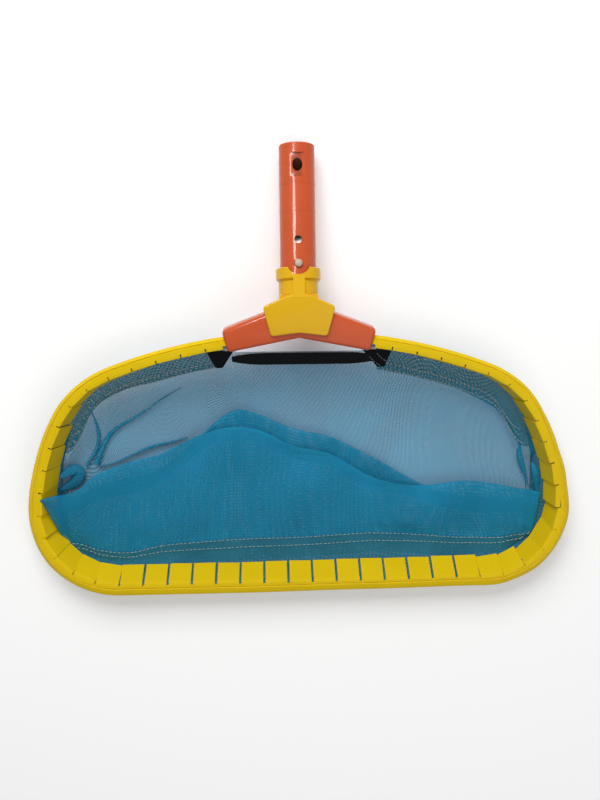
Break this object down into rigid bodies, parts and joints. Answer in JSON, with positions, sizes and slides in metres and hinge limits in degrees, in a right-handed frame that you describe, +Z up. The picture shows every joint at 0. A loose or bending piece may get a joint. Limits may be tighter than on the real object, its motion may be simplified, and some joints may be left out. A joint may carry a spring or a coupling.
{
  "type": "leaf skimmer net",
  "caption": "Pool leaf rake: D-shaped mouth with a slit plastic lip, slack mesh bag, chevron yoke, collar, and a round stem with a snap button that slides into a pole.",
  "frame": {"origin": "on the floor, under the middle of the object's bounding box", "axes": "+X to the right across the mouth, seen from the front edge; +Y from the front edge towards the stem; +Z up, out of the mouth"},
  "size_m": [0.4466, 0.3674, 0.0527],
  "materials": {
    "frame_aluminium": "drawn rod",
    "hem_fabric": "woven",
    "yellow_lip": "soft extruded, satin",
    "orange_plastic": "moulded, fine texture",
    "yellow_moulding": "moulded, satin",
    "white_button": "moulded",
    "spring_steel": "spring temper",
    "zinc_screw": "zinc plated",
    "blue_mesh": "fine open mesh",
    "black_webbing": "woven"
  },
  "bodies": {
    "rake": {"frame_rod": "frame_aluminium", "hem_sleeve": "hem_fabric", "rim_lip": "yellow_lip", "yoke_front": "orange_plastic", "yoke_back": "orange_plastic", "yoke_screw_outer_right": "zinc_screw", "yoke_screw_outer_left": "zinc_screw", "yoke_screw_inner_right": "zinc_screw", "yoke_screw_inner_left": "zinc_screw", "tang_screw": "zinc_screw", "handle_stem": "orange_plastic", "collar": "yellow_moulding", "button_spring": "spring_steel", "net_bag": "blue_mesh", "edge_strip": "black_webbing", "corner_patch_right": "black_webbing", "corner_patch_left": "black_webbing"},
    "button": {"snap_button": "white_button"}
  },
  "joints": [
    {"name": "button_press", "type": "slide", "parent": "rake", "child": "button", "axis": [0, -0.1755, -0.9845], "range_m": [0, 0.0036], "stiffness_N_per_m": 800, "deforming": ["button_spring"]}
  ]
}
